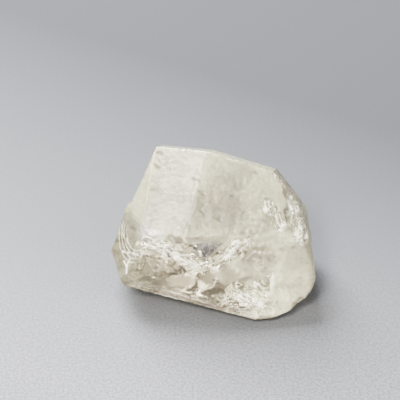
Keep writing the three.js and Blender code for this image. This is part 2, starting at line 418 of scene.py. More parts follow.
refined = bmesh.new()
refined.from_mesh(stone.data)
rolled = np.maximum(kinds["worn"] * (1 - kinds["foot"]), kinds["left_end"]) > ROLLED_FROM
rolled_verts = [vert for vert in refined.verts if rolled[vert.index]]
smoothed(refined, rolled_verts, WEAR_PASSES)
smoothed(refined, refined.verts, SMOOTH_PASSES)
print(len(rolled_verts), "points lie on rolled stone")

# %% Measure how sharp each edge is
# An edge stands out from its surroundings: it moves inwards when the skin is smoothed.
EDGE_PASSES = 5

softer = refined.copy()
smoothed(softer, softer.verts, EDGE_PASSES)
edge_layer = refined.verts.layers.float.new("edge")
softer.verts.ensure_lookup_table()
for vert in refined.verts:
    vert[edge_layer] = (vert.co - softer.verts[vert.index].co).dot(vert.normal) / MM
print("the sharpest edge moves by", round(max(vert[edge_layer] for vert in refined.verts), 2), "mm")
softer.free()

# %% Divide the flaked zones and the thin lines
DIVIDED_FROM = 0.05
EDGE_WEAR = (0.03, 0.09)

detailed = (kinds["flaked"] > DIVIDED_FROM) | (kinds["thread"] > 0.0)
fine_edges = [edge for edge in refined.edges if all(detailed[vert.index] for vert in edge.verts)]
bmesh.ops.subdivide_edges(refined, edges=fine_edges, cuts=1, use_grid_fill=True)
refined.to_mesh(stone.data)
refined.free()

points, normals = skin_arrays(stone.data)
kinds = masks(points, normals)
sharpness = np.empty(len(points), dtype=np.float32)
stone.data.attributes["edge"].data.foreach_get("value", sharpness)
stone.data.attributes.remove(stone.data.attributes["edge"])
kinds["worn_edge"] = ramp(sharpness, *EDGE_WEAR)
print("refined:", len(points), "points,", len(stone.data.polygons), "faces")

# %% [markdown]
# ## Fine relief: waves and grain
#
# No face of the stone is a perfect plane. Long, faint waves cross the clear fractures, the
# etched faces have a low, even grain, and the worn end is pitted by the river. A smooth noise
# at several sizes gives all of these. It is sampled once for each point, so that the same
# unevenness can steer the relief, the frost and the colour together, as it does in stone.

# %% Noise fields over the points
def noise_at(places):
    """A smooth noise from -1 to 1, at each of the places."""
    return np.array([noise.noise(Vector(place)) for place in places])


def sampled(size, shift, stretch=(1, 1, 1)):
    """The noise over the skin, with features about as wide as size in mm."""
    return noise_at(points * np.array(stretch) / size + shift)


waves = sampled(4.0, shift=3.0)
grain = sampled(0.7, shift=11.0)
mottle = sampled(2.2, shift=17.0)
clouds = sampled(5.0, shift=31.0)
specks = sampled(0.32, shift=41.0, stretch=(0.6, 1, 1))
print("the grain spans", round(float(grain.min()), 2), "to", round(float(grain.max()), 2))

# %% [markdown]
# ## Fine relief: facets
#
# Where topaz breaks roughly, it leaves a patchwork of small flat facets that tilt every way.
# Cutting them one by one would take thousands of cuts. The cells of a Voronoi pattern have the
# same look, so each cell gets a plane with a tilt of its own, and a point sinks to the plane of
# its cell. All the planes also lean a little the same way, as cleavage does.

# %% Facets of three sizes
COMMON_TILT = np.array((0.0, 0.30, 0.20))
TILT_SEED = 7.0


def facets(size, steepness, shift):
    """How deep the facets cut, in mm, and how far a point is from the border of its facet."""
    depth, border = np.empty(len(points)), np.empty(len(points))
    for index, place in enumerate(points / size + shift):
        (nearest, second), (centre, _) = (found[:2] for found in noise.voronoi(Vector(place)))
        own_tilt = np.array(noise.cell_vector(centre * TILT_SEED)) * 2 - 1
        depth[index] = size * (place - np.array(centre)) @ (COMMON_TILT + steepness * own_tilt)
        border[index] = size * (second - nearest)
    return depth, border


broad_facet, broad_border = facets(1.3, 0.45, shift=51.0)
small_facet, _ = facets(0.6, 0.5, shift=61.0)
wide_facet, _ = facets(3.0, 0.35, shift=71.0)
print("broad facets cut up to", round(float(broad_facet.max()), 2), "mm")

# %% [markdown]
# ## Fine relief: ribs, streaks and pits
#
# A shell fracture has ribs around the point where the blow fell, like ripples. Growth leaves
# faint streaks along a prism, and acid ground water leaves short pits in its faces. All three
# follow the stone's own directions, so each is told from them: ribs from the distance to a
# centre, streaks from a noise that is drawn out along the prism, and pits from short paths.

# %% Ribs of the shell fracture on the left side
SHELL_CENTRE = np.array((-11.6, 9.8, 10.3))
RIB_SPACING, RIB_WAVINESS = 0.62, 0.25
RIB_TOP_Z = (8.6, 10.0)
RIB_RADIUS, RIB_BAND = 4.4, (0.9, 1.6)
RIB_LINE = (0.08, 0.2)

from_centre = np.linalg.norm(points - SHELL_CENTRE, axis=1) + RIB_WAVINESS * waves
rib_phase = (from_centre / RIB_SPACING) % 1.0
below_top = 1 - ramp(points[:, 2], *RIB_TOP_Z)
in_band = 1 - ramp(np.abs(from_centre - RIB_RADIUS), *RIB_BAND)
ribs = kinds["left_side"] * below_top * in_band
rib_lines = ribs * (1 - ramp(np.abs(rib_phase - 0.5), *RIB_LINE))
print("ribs cover", round(100 * float(ribs.mean()), 1), "% of the points")

# %% Streaks that follow the prism
PRISM_AXIS = np.array(Vector((-4.2, -11.2, -8.8)).normalized())
STREAK_WIDTH, STREAK_LENGTH = 0.45, 7.0

run_of_prism = (points @ PRISM_AXIS)[:, None] * PRISM_AXIS
across_prism = points - run_of_prism
streaks = noise_at(across_prism / STREAK_WIDTH + run_of_prism / STREAK_LENGTH)
print("the strongest streak is", round(float(streaks.max()), 2))

# %% Etch pits: short dark dashes in the prism faces
PITS = [
    (-1.9, 10.5, 13.3), (0.5, 9.7, 12.5), (-2.7, 14.4, 16.6), (-1.9, 12.8, 15.2), (6.5, 15.7, 17.1),
    (-8.5, 18.6, 18.6), (-9.1, 17.0, 17.3), (3.4, 12.4, 14.8), (-6.4, 13.0, 15.1),
]
PIT_RUN = np.array((0.34, -0.16, -0.08))
PIT_SPREAD, PIT_SEED = 0.7, 3.0
PIT_RADIUS, PIT_CORE = 0.26, 0.1

pits = np.zeros(len(points))
for pit in PITS:
    uneven = np.array(noise.cell_vector(Vector(pit) * PIT_SEED))
    half = PIT_RUN * (1 + PIT_SPREAD * uneven)
    pits = np.maximum(pits, near_path(points, [pit - half, pit + half], PIT_RADIUS, PIT_CORE))
print(len(PITS), "pits over", int((pits > 0).sum()), "points")

# %% [markdown]
# ## Moving the skin
#
# Now the fields become shape: each point of the skin moves along its normal. A displacement in
# the material could do this while rendering, but then the mesh itself would stay smooth. Every
# move goes inwards, because a stone only loses material, and so the dressed stone stays inside
# the size of the solid.

# %% How deep each kind of relief cuts, in mm, and how much of each facet shows
FACET_CUT, FACET_SHARE = 0.2, 0.8
SMALL_FACET_SHARE, GLINT_FACET_SHARE = 0.35, 0.3
RIB_CUT, THREAD_CUT, PIT_CUT = 0.08, 0.05, 0.12
WAVE_LIFT = 0.03
PRISM_MOTTLE, PRISM_GRAIN, PRISM_STREAKS = 0.04, 0.04, 0.015
WORN_MOTTLE, WORN_GRAIN = 0.03, 0.035
BASE_SPLINTERS, BACK_SPLINTERS, FRONT_SPLINTERS = 0.1, 0.4, 0.12
DEEPEST, NOTCH_DEPTH = 0.45, 0.8
# Noise goes both ways, so its mean is set back, and most of it then goes inwards.
SET_BACK = 0.5
print("relief goes", DEEPEST, "mm deep at most, and the notch", NOTCH_DEPTH, "mm deeper")

# %% Move the skin
flaked = kinds["flaked"] * (1 - kinds["grey_window"])
splintered = np.maximum.reduce([
    flaked,
    BASE_SPLINTERS * kinds["base"],
    BACK_SPLINTERS * kinds["back"],
    FRONT_SPLINTERS * kinds["front"],
])
small_share = SMALL_FACET_SHARE + GLINT_FACET_SHARE * kinds["glint"]
etched = PRISM_MOTTLE * (mottle - SET_BACK) + PRISM_GRAIN * grain + PRISM_STREAKS * streaks
pitted = WORN_MOTTLE * (mottle - SET_BACK) + WORN_GRAIN * (grain - SET_BACK)
relief = (
    -splintered * (FACET_CUT + FACET_SHARE * broad_facet + small_share * small_facet)
    - kinds["base"] * (FACET_CUT + FACET_SHARE * wide_facet)
    - RIB_CUT * ribs * rib_phase
    - THREAD_CUT * kinds["thread"]
    - PIT_CUT * pits
    + WAVE_LIFT * waves
    + kinds["prism"] * etched
    + kinds["worn"] * pitted
)
relief = np.clip(relief, -DEEPEST, 0.0) - NOTCH_DEPTH * kinds["notch"]
moved = (points + LANDMARK_ORIGIN + normals * relief[:, None]) * MM
moved[:, 2] = np.maximum(moved[:, 2], 0)
stone.data.vertices.foreach_set("co", moved.ravel())
stone.data.update()
print("relief from", round(float(relief.min()), 3), "to", round(float(relief.max()), 3), "mm")

# %% [markdown]
# ## Cracks inside the stone
#
# A crack in a clear stone is a thin gap of air. Light that meets it at a slant is thrown back
# as by a mirror, which is why cracks look silvery. A loose sheet of white could stand in for
# one, but light would pass it wrongly. So a crack is modelled as what it is: a thin closed
# hollow inside the solid. Its faces point into the hollow, away from the stone. Hollows must
# not cut the skin or each other, so each point of a crack is first tested for both.

# %% The stone before its cracks
GAP, COVER, CLEARANCE = 0.05, 0.12, 0.3

stone_with_cracks = bmesh.new()
stone_with_cracks.from_mesh(stone.data)
stone_with_cracks.verts.layers.float.new("white")
skin_count = len(stone_with_cracks.verts)
skin_tree = BVHTree.FromBMesh(stone_with_cracks)


def covered(place):
    """Whether a place, in mm from the landmarks' origin, lies under enough stone."""
    spot = (Vector(LANDMARK_ORIGIN) + place) * MM
    surface, outward, _, _ = skin_tree.find_nearest(spot)
    return (surface - spot).dot(outward) > (COVER + GAP) * MM


print("the skin has", skin_count, "points")


# %% Room between the cracks
class CrackedPlaces:
    """The places of the cracks so far, so that later ones stay clear of them."""

    def __init__(self):
        self.places = []
        self.tree = self.grown()

    def grown(self):
        tree = KDTree(len(self.places))
        for index, place in enumerate(self.places):
            tree.insert(place, index)
        tree.balance()
        return tree

    def add(self, places):
        self.places.extend(places)
        self.tree = self.grown()

    def far_from(self, place, reach=CLEARANCE):
        """Whether no earlier crack comes nearer than reach, in mm."""
        distance = self.tree.find(place)[2]
        return distance is None or distance > reach


cracked = CrackedPlaces()
print("cracks so far:", len(cracked.places), "places")

# %% [markdown]
# ## The shape of a crack
#
# A crack spreads from a point until it runs out of force, so its outline is a ragged oval, and
# its sheet is a little bent and crinkled like crumpled foil. It starts as a grid, whose points
# are moved off the plane by noise. Those outside the outline or too near the skin are deleted,
# then what would hang on by a corner, and the rest is given a thickness.

# %% Trim a sheet
def pinched(vert):
    """Whether only a corner joins the two faces at this point of a grid, or it has no face."""
    shared = any(len(edge.link_faces) == 2 for edge in vert.link_edges)
    return not vert.link_faces or (len(vert.link_faces) == 2 and not shared)


def trim(sheet, outside):
    """Takes the outside points away, and then what would hang on by a corner."""
    while outside:
        bmesh.ops.delete(sheet, geom=outside, context="VERTS")
        outside = [vert for vert in sheet.verts if pinched(vert)]
    loose = [edge for edge in sheet.edges if not edge.link_faces]
    bmesh.ops.delete(sheet, geom=loose, context="EDGES")


# %% Outline and crinkles of a sheet
MEAN_OUTLINE, OUTLINE_WAVE, OUTLINE_TEETH = 0.86, 0.3, 0.25
WAVES_PER_MM, TEETH_PER_MM = 1.1, 3.5
POINTED_TIP = 1.02
SHEET_WAVE, SHEET_WAVES_PER_MM = 0.1, 0.9
DIMPLES_PER_MM, MEAN_DIMPLE = 2.5, 0.4


def outline_reach(u, v, place, pointed, seed):
    """How far out a point of the sheet lies: its outline is at 1."""
    if pointed:
        return abs(u) * 2 / (POINTED_TIP + v)
    wave = noise.noise(place * WAVES_PER_MM + Vector((seed, 0, 0)))
    teeth = noise.noise(place * TEETH_PER_MM)
    return math.hypot(u, v) / (MEAN_OUTLINE + OUTLINE_WAVE * wave + OUTLINE_TEETH * teeth)


def off_plane(u, v, place, crinkle, bend, seed):
    """How far a point of the sheet lies off its plane, in mm."""
    wave = noise.noise(place * SHEET_WAVES_PER_MM + Vector((0, seed, 0)))
    dimple = noise.voronoi(place * DIMPLES_PER_MM + Vector((0, 0, seed)))[0][0] - MEAN_DIMPLE
    return SHEET_WAVE * wave + crinkle * dimple + bend * (u * u + v * v)


# %% A crack
FEWEST_CELLS = 3
CRINKLE, CRACK_CELL = 0.06, 0.13
POINTED_WHITE, POINTED_WHITER = 0.2, 0.5


def crack_sheet(centre, along, across, crinkle, cell, bend, pointed, white, seed):
    """The trimmed sheet of a crack, in mm, with how white each of its points is."""
    square = along.cross(across).normalized()
    sheet = bmesh.new()
    whiteness = sheet.verts.layers.float.new("white")
    columns, rows = (max(FEWEST_CELLS, round(2 * half.length / cell)) for half in (along, across))
    bmesh.ops.create_grid(sheet, x_segments=columns, y_segments=rows, size=1)
    outside = []
    for vert in sheet.verts:
        u, v = vert.co.x, vert.co.y
        flat = centre + u * along + v * across
        vert[whiteness] = POINTED_WHITE + POINTED_WHITER * max(0.0, v) if pointed else white
        vert.co = flat + square * off_plane(u, v, flat, crinkle, bend, seed)
        within = outline_reach(u, v, flat, pointed, seed) <= 1
        if not (within and covered(vert.co) and cracked.far_from(vert.co)):
            outside.append(vert)
    trim(sheet, outside)
    return sheet


def crack(centre, along, across, crinkle=CRINKLE, cell=CRACK_CELL, bend=0.0, pointed=False,
          white=1.0, seed=0):
    """Adds a ragged oval gap with two half axes, in mm. A pointed one narrows downwards."""
    centre, along, across = (Vector(v) for v in (centre, along, across))
    sheet = crack_sheet(centre, along, across, crinkle, cell, bend, pointed, white, seed)
    if sheet.faces:
        cracked.add([vert.co.copy() for vert in sheet.verts])
        bmesh.ops.solidify(sheet, geom=sheet.faces[:], thickness=GAP)
        if sheet.calc_volume(signed=True) > 0:
            bmesh.ops.reverse_faces(sheet, faces=sheet.faces[:])
        for vert in sheet.verts:
            vert.co = (Vector(LANDMARK_ORIGIN) + vert.co) * MM
        piece = bpy.data.meshes.new("crack")
        sheet.to_mesh(piece)
        stone_with_cracks.from_mesh(piece)
        bpy.data.meshes.remove(piece)
    sheet.free()


# %% [markdown]
# ## The cracks of this stone
#
# A crack that stands up and leans forward mirrors the dark floor, and one that lies nearly
# level mirrors the light. So the grey window behind the rim's lowest point is one large, flat
# sheet, and the silvery rim has a level crack behind each of its segments. Small cracks in many
# directions cloud the bruised stone below the rim.

# %% The window's crack stands behind the rim's lowest point
crack(
    centre=(-1.2, 8.1, 7.7), along=(3.7, 0.1, 0.0), across=(0.0, -0.45, 3.0),
    crinkle=0.0, cell=0.16, pointed=True, seed=30,
)
print("the window's crack has", len(cracked.places), "places")

# %% Cracks that follow the rim and go back into the stone from it
RIM_CRACK_RUN = np.array((0.06, 1.0, -0.18))
RIM_CRACK_REACHES = (0.5, 1.7, 1.8, 1.1, 0.35, 0.5, 1.1, 1.4, 0.8)
RIM_CRACK_DROP = np.array((0.0, 0.25, -0.7))
RIM_CRACK_SHARE = 0.48

for order, (start, end, reach) in enumerate(zip(RIM[:-1], RIM[1:], RIM_CRACK_REACHES)):
    start, end = np.array(start), np.array(end)
    back = reach * RIM_CRACK_RUN
    middle = (start + end) / 2 + RIM_CRACK_DROP + back
    crack(middle, RIM_CRACK_SHARE * (end - start), back, seed=order)
print("with the rim's cracks", len(cracked.places), "places")

# %% Cracks in the right edge, the patch, the chip, the foot and the wedge
BRIGHT_CRACKS = [
    # centre, half axis along, half axis across, crinkle
    ((9.3, 11.4, 12.1), (0.9, -1.2, -0.8), (0.2, 1.0, -0.2), 0.07),
    ((9.9, 10.9, 11.9), (0.7, -0.9, -0.6), (0.2, 0.8, -0.2), 0.07),
    ((12.0, 13.6, 12.6), (0.5, -1.2, -0.9), (-0.4, 0.9, -0.2), 0.08),
    ((12.4, 10.8, 10.9), (0.4, -1.5, -0.9), (-0.5, 0.9, -0.2), 0.08),
    ((10.3, 15.3, 15.4), (0.5, -0.4, -0.6), (-0.2, 0.8, -0.1), 0.08),
    ((4.0, 2.2, 2.9), (1.6, 0.1, 0.0), (0.1, 0.9, -0.1), 0.06),
    ((6.2, 2.8, 3.2), (1.6, 0.1, 0.2), (0.1, 1.0, -0.1), 0.06),
    ((7.7, 3.4, 4.7), (1.3, -0.4, -0.5), (0.3, 1.0, 0.1), 0.02),
]
for order, (centre, along, across, crinkle) in enumerate(BRIGHT_CRACKS):
    crack(centre, along, across, crinkle, seed=order)
print("with the bright cracks", len(cracked.places), "places")

# %% Small cracks in the bruised stone below the rim
BRUISES = [
    # centre and half size of a box of small cracks, and how many
    ((-6.5, 6.0, 4.6), (4.5, 1.8, 1.5), 4),
    ((1.5, 4.6, 4.4), (3.0, 1.8, 1.6), 3),
    ((6.2, 7.0, 6.4), (2.2, 1.4, 1.4), 14),
    ((5.0, 3.0, 3.0), (2.8, 1.0, 0.9), 14),
]
BRUISE_TURN, BRUISE_DIP, BRUISE_TILT = (-0.6, 0.6), (-0.7, 0.35), (-0.3, 0.3)
BRUISE_SIZE, BRUISE_STRETCH, BRUISE_ROOM = (0.25, 0.6), 1.3, 1.4
BRUISE_CRINKLE, BRUISE_WHITE = 0.03, 0.4
BRUISE_SEED = 5

rng = np.random.default_rng(BRUISE_SEED)
for centre, reach, count in BRUISES:
    for order in range(count):
        place = np.array(centre) + rng.uniform(-1, 1, 3) * reach
        turn, dip, size = (rng.uniform(*span) for span in (BRUISE_TURN, BRUISE_DIP, BRUISE_SIZE))
        if not cracked.far_from(place, BRUISE_ROOM * size):
            continue
        tilt = rng.uniform(*BRUISE_TILT)
        back, level = math.sin(dip), math.cos(dip)
        along = size * BRUISE_STRETCH * np.array((math.cos(turn), math.sin(turn), tilt))
        across = size * np.array((-math.sin(turn) * level, math.cos(turn) * level, back))
        crack(place, along, across, BRUISE_CRINKLE, white=BRUISE_WHITE, seed=order)
print("with the bruises", len(cracked.places), "places")

# %% The curved crack in the front is seen on its edge
crack(
    centre=(-10.9, 6.2, 6.0), along=(0.7, 0.6, 2.4), across=(0.1, 1.3, -0.9),
    crinkle=0.02, cell=0.2, bend=0.5, seed=31,
)
stone_with_cracks.to_mesh(stone.data)
stone_with_cracks.free()
print("cracks:", len(stone.data.vertices) - skin_count, "points")

# %% [markdown]
# ## Strands
#
# Crumbled topaz is white where many tiny cracks lie under the surface. They run in strands
# along the broken edge, with clear gaps between them. Plain noise would give blots, so the
# noise is drawn out along the nearest edge, and only its narrow ridges count: where its value
# is close to zero. The same web covers the skin and the cracks under it.

# %% Fibres along a path
CLEAR_UP_TO, FULL_FROM = 0.14, 0.03
THICKNESS_CHANGE, THICKNESS_SIZE = 0.15, 1.5


def fibres(places, path, width, length, shift):
    """1 on thin lines that follow a path, some thicker than others, 0 between them."""
    _, run, offset = along_path(places, path)
    drawn_out = offset / width
    drawn_out[:, 0] += run / length
    values = noise_at(drawn_out + shift)
    thick = noise_at(places / THICKNESS_SIZE + shift)
    return 1 - ramp(np.abs(values) - THICKNESS_CHANGE * thick, FULL_FROM, CLEAR_UP_TO)


# %% A web of coarse and fine fibres
WEB_PATHS = (RIM, RIGHT_EDGE, PATCH, FOOT_SCALE, WEDGE)
COARSE_FIBRES = {"width": 0.8, "length": 3.5, "shift": 3.0}
FINE_FIBRES = {"width": 0.5, "length": 1.8, "shift": 9.0}


def fibre_web(places):
    """Fibres along the nearest of the broken edges."""
    distances = np.array([along_path(places, path)[0] for path in WEB_PATHS])
    web = np.zeros(len(places))
    for order, path in enumerate(WEB_PATHS):
        own = distances.argmin(axis=0) == order
        if own.any():
            coarse = fibres(places[own], path, **COARSE_FIBRES)
            fine = fibres(places[own], path, **FINE_FIBRES)
            web[own] = np.maximum(coarse, fine)
    return web


web = fibre_web(points)
print("strands could cover", round(100 * float(web.mean())), "% of a crumbled place")

# %% Where the strands show
STRANDS_IN_WEDGE, STRANDS_IN_SPLINTER = 0.9, 0.5
WINDOW_CLEARS, GREY_WINDOW_CLEARS = 0.85, 0.8

crumbled = np.maximum.reduce([kinds["rim"], kinds["glint"], STRANDS_IN_WEDGE * kinds["wedge"]])
strands = crumbled * (1 - WINDOW_CLEARS * kinds["window"])
strands = strands * (1 - GREY_WINDOW_CLEARS * kinds["grey_window"]) * web
in_splinter = STRANDS_IN_SPLINTER + (1 - STRANDS_IN_SPLINTER) * web
strands = np.maximum(strands, kinds["splinter"] * in_splinter)
print("strands cover", round(100 * float(strands.mean()), 1), "% of the points")

# %% All white lines: strands, scratches, the borders of facets and the ribs
SCRATCH_GAPS = (-0.7, 0.2)
BORDER_WIDTH = (0.04, 0.12)
SCRATCH_WHITE, BORDER_WHITE, RIB_WHITE = 0.7, 0.5, 0.6

scratches = kinds["thread"] * ramp(mottle + grain, *SCRATCH_GAPS)
borders = flaked * (1 - ramp(broad_border, *BORDER_WIDTH))
white_lines = np.maximum.reduce([
    strands,
    SCRATCH_WHITE * scratches,
    BORDER_WHITE * borders,
    RIB_WHITE * rib_lines,
])
print("white lines cover", round(100 * float(white_lines.mean()), 1), "% of the points")

# %% [markdown]
# ## Frost
#
# Frost is how much the surface blurs the light that passes it. The prism faces were etched in
# the ground and the worn end was rolled in a river, so both are matt, while fresh fractures are
# as clear as glass. One roughness for the whole stone would miss that. Each kind adds its
# amount, and so one number for each point tells the material how rough the stone is there.

# %% Add up masks
def mixed(recipe):
    """The sum of some masks, each times its amount."""
    return sum(amount * mask for amount, mask in recipe)


# %% Clear and matt places
GREY_PANE, CLEAR_GLINT, MATT_CREST = 0.5, 0.7, 0.6

panes = np.maximum(kinds["window"], GREY_PANE * kinds["grey_window"])
clear = np.maximum.reduce([panes, kinds["rim"], CLEAR_GLINT * kinds["glint"], kinds["wedge"]])
etched_prism = kinds["prism"] * (1 - clear)
matt = np.maximum.reduce([etched_prism, MATT_CREST * kinds["crest"], kinds["crease"]])
print("matt surface covers", round(100 * float(matt.mean())), "% of the points")

# %% Frost
FLAKES_CLEAR = 0.6

frost = mixed([
    # amount, where
    (0.20, 1),
    (0.70, matt),
    (0.30, kinds["base"]),
    (-0.10, kinds["back"]),
    (0.80, kinds["worn"] * (1 - kinds["wedge"])),
    (-0.15, kinds["front"]),
    (0.30, kinds["low_steps"]),
])
frost = frost * (1 - FLAKES_CLEAR * flaked)
print("frost is", round(float(np.clip(frost, 0, 1).mean()), 2), "on average")

# %% [markdown]
# ## Milk
#
# Milk is the share of light that the tiny cracks just under the surface throw straight back,
# which makes bruised stone look white. It could be a thin fog of particles, but that renders
# slowly and grainily. Near the surface a mix of glass and matt white looks the same, so milk is
# one more number for each point, and the material lowers its transmission by it.

# %% Where the milk is uneven
PRISM_RISE_Z, BROKEN_TOP_Z = (13, 19), (12, 14)
STREAK_RANGE, SPECK_RANGE = (0.1, 0.35), (0.3, 0.5)
SPECK_CLOUDS = 0.4
STEP_FIBRES = {"width": 0.5, "length": 4.0, "shift": 5.0}

# Each pair is an amount and a field, as in every recipe.
etched_uneven = mixed([(1, 1), (0.8, clouds), (0.8, mottle), (0.5, grain)])
worn_uneven = mixed([(1, 1), (0.6, mottle)])
broken = 1 - any_of(kinds, "prism", "worn", "base", "back", "crest", "crease")
broken = broken * (1 - ramp(points[:, 2], *BROKEN_TOP_Z))
white_specks = ramp(specks + SPECK_CLOUDS * clouds, *SPECK_RANGE)
step_fibres = fibres(points, LOW_EDGE, **STEP_FIBRES)
print("broken stone covers", round(100 * float(broken.mean())), "% of the points")

# %% Milk
WHITE_LINE_MILK, WORN_EDGE_MILK = 0.95, 0.3

milk = mixed([
    # amount, where
    (0.05, 1),
    (0.23, etched_prism * etched_uneven),
    (0.03, kinds["left_face"] * (1 - clear)),
    (0.25, kinds["prism"] * ramp(points[:, 2], *PRISM_RISE_Z)),
    (0.20, kinds["crest"]),
    (0.15, kinds["base"]),
    (0.05, kinds["back"]),
    (0.08, kinds["worn"] * worn_uneven),
    (0.30, kinds["crease"]),
    (0.10, broken * (1 + mottle)),
    (0.25, kinds["rim"] * (1 - panes)),
    (0.12, kinds["glint"]),
    (0.30, kinds["left_top"]),
    (0.20, kinds["low_steps"]),
    (0.50, kinds["low_steps"] * step_fibres),
    (0.12, kinds["ridge"] * kinds["prism"] * ramp(streaks, *STREAK_RANGE)),
    (0.25, white_specks * (etched_prism + kinds["worn"])),
])
milk = np.maximum.reduce([
    milk,
    WHITE_LINE_MILK * white_lines,
    WORN_EDGE_MILK * kinds["worn_edge"],
])
print("milk is", round(float(np.clip(milk, 0, 1).mean()), 2), "on average")

# %% [markdown]
# ## Stain, painted shade and colour
#
# Iron from the ground creeps into rough places and leaves a faint brown there. The same stain
# also carries painted shade: the underside and the back are darkened, and the lower front and
# the broken stone partly so, which dims what is seen through the front. The stone under a fresh
# break is whiter than the rest, and the clear windows get a faint violet, a painted tint of the
# bluish floor seen through them. A colour for each point can hold all of this, given as linear
# red, green and blue: it goes from clean to stained and shaded, and then turns to the fresh colour
# on the white lines and to the painted floor tint in the windows.

# %% Stain, and painted shade on the underside, the back and the front
INNER_X = (-13, -9)
DARK_GRAIN_RANGE = (0.1, 0.3)

inner = ramp(points[:, 0], *INNER_X)
dark_grain = ramp(-grain, *DARK_GRAIN_RANGE)
dark_specks = ramp(-specks, *SPECK_RANGE)
stain_and_shade = mixed([
    # amount, where
    (0.75, pits),
    (0.45, kinds["brown"]),
    (0.12, kinds["glint"] * (1 - strands)),
    (0.30, kinds["brown"] * dark_grain),
    (0.16, kinds["worn"] * (1 + clouds)),
    # Partly a brown tint, partly painted shade: the lower front and the broken stone are darkened.
    (0.60, kinds["front"] * inner),
    (0.075, broken),
    (0.175, broken * inner),
    # Painted shade: the underside and the back are darkened, which dims the light seen through the
    # front.
    (0.80, kinds["base"]),
    (0.30, kinds["back"]),
    (0.10, kinds["prism"] * (mottle + grain)),
    (0.25, kinds["low_steps"]),
    (0.20, dark_specks),
    (0.40, kinds["worn"] * dark_specks),
])
print("stain is", round(float(np.clip(stain_and_shade, 0, 1).mean()), 2), "on average")

# %% Colours
CLEAN = np.array((0.72, 0.68, 0.54))
# The dark end serves both the brown stain and the painted shade.
STAINED_AND_SHADED = np.array((0.32, 0.27, 0.22))
FRESH = np.array((0.98, 0.95, 0.86))
# A faint violet for the clear windows: a painted tint of the bluish floor seen through them.
PAINTED_FLOOR_TINT = np.array((0.95, 0.92, 1.0))

skin_colours = CLEAN + np.clip(stain_and_shade, 0, 1)[:, None] * (STAINED_AND_SHADED - CLEAN)
for share, colour in ((white_lines, FRESH), (panes * (1 - white_lines), PAINTED_FLOOR_TINT)):
    skin_colours += share[:, None] * (colour - skin_colours)
print("the mean colour is", [round(float(part), 2) for part in skin_colours.mean(axis=0)])

# %% [markdown]
# ## Numbers on the mesh
#
# The material has to read these numbers at every point of the stone. An image would need the
# skin unwrapped, and its seams would show. An attribute is simpler: one number or colour that
# the mesh itself keeps for each of its points. The skin's points come first in the mesh and the
# cracks' points after them.

# %% Read the cracks back
CRACK_FROST, CRACK_MILK = 0.3, 0.95

places = np.empty(len(stone.data.vertices) * 3)
stone.data.vertices.foreach_get("co", places)
crack_places = places.reshape(-1, 3)[skin_count:] / MM - LANDMARK_ORIGIN
white = np.empty(len(stone.data.vertices), dtype=np.float32)
stone.data.attributes["white"].data.foreach_get("value", white)
stone.data.attributes.remove(stone.data.attributes["white"])
crack_milk = CRACK_MILK * white[skin_count:] * fibre_web(crack_places)
print("the cracks' milk is", round(float(crack_milk.mean()), 2), "on average")


# %% Store the numbers and the colours
def stored_on_points(name, on_skin, on_cracks):
    """Writes one number for each point of the mesh, the skin's first and then the cracks'."""
    numbers = np.zeros(len(stone.data.vertices), dtype=np.float32)
    numbers[:skin_count] = np.clip(on_skin, 0, 1)
    numbers[skin_count:] = on_cracks
    stored = stone.data.attributes.new(name, "FLOAT", "POINT")
    stored.data.foreach_set("value", numbers)
    print(name, "from", round(float(numbers.min()), 2), "to", round(float(numbers.max()), 2))


stored_on_points("frost", frost, CRACK_FROST)
stored_on_points("milk", milk, crack_milk)
colours = np.ones((len(stone.data.vertices), 4), dtype=np.float32)
colours[:skin_count, :3] = skin_colours
tint = stone.data.attributes.new("tint", "FLOAT_COLOR", "POINT")
tint.data.foreach_set("color", colours.ravel())

# %% [markdown]
# ## The material
#
# Topaz bends light by an index of 1.62, more than window glass does. It is clear, so the whole
# body is transmission, and its faint champagne tint comes from absorption too: the longer the
# way through the stone, the more blue is lost. One material covers the whole stone, because
# light has to leave the same body that it entered. A small bump adds the grain of the frosted
# places, which is finer than the skin's faces.

# %% Helpers for nodes
def place_of(tree, kind):
    """Where a shaded point is: "Object" is told from the object, "Generated" from the world."""
    return tree.nodes.new("ShaderNodeTexCoord").outputs[kind]


def mapped(tree, value, lowest, highest, start=0.0, end=1.0, smooth=False):
    """A number that goes from lowest to highest while the value goes from start to end."""
    share = tree.nodes.new("ShaderNodeMapRange")
    share.interpolation_type = "SMOOTHSTEP" if smooth else "LINEAR"
    share.inputs["From Min"].default_value = start
    share.inputs["From Max"].default_value = end
    share.inputs["To Min"].default_value = lowest
    share.inputs["To Max"].default_value = highest
    tree.links.new(value, share.inputs["Value"])
    return share.outputs["Result"]


def fine_noise(tree, size, detail):
    """The strength of a noise over the object, with grains of a size in metres."""
    grains = tree.nodes.new("ShaderNodeTexNoise")
    grains.inputs["Scale"].default_value = 1 / size
    grains.inputs["Detail"].default_value = detail
    tree.links.new(place_of(tree, "Object"), grains.inputs["Vector"])
    return grains.outputs["Fac"]


# %% Topaz
TOPAZ_INDEX = 1.62
CLEAREST, ROUGHEST = 0.02, 0.45
BUMP_SIZE, BUMP_DETAIL, BUMP_DEPTH = 0.35 * MM, 3, 0.07 * MM
LEAST_BUMP, MOST_BUMP = 0.05, 0.6
TINT = (0.96, 0.90, 0.62, 1)
TINT_PER_METRE = 3.0


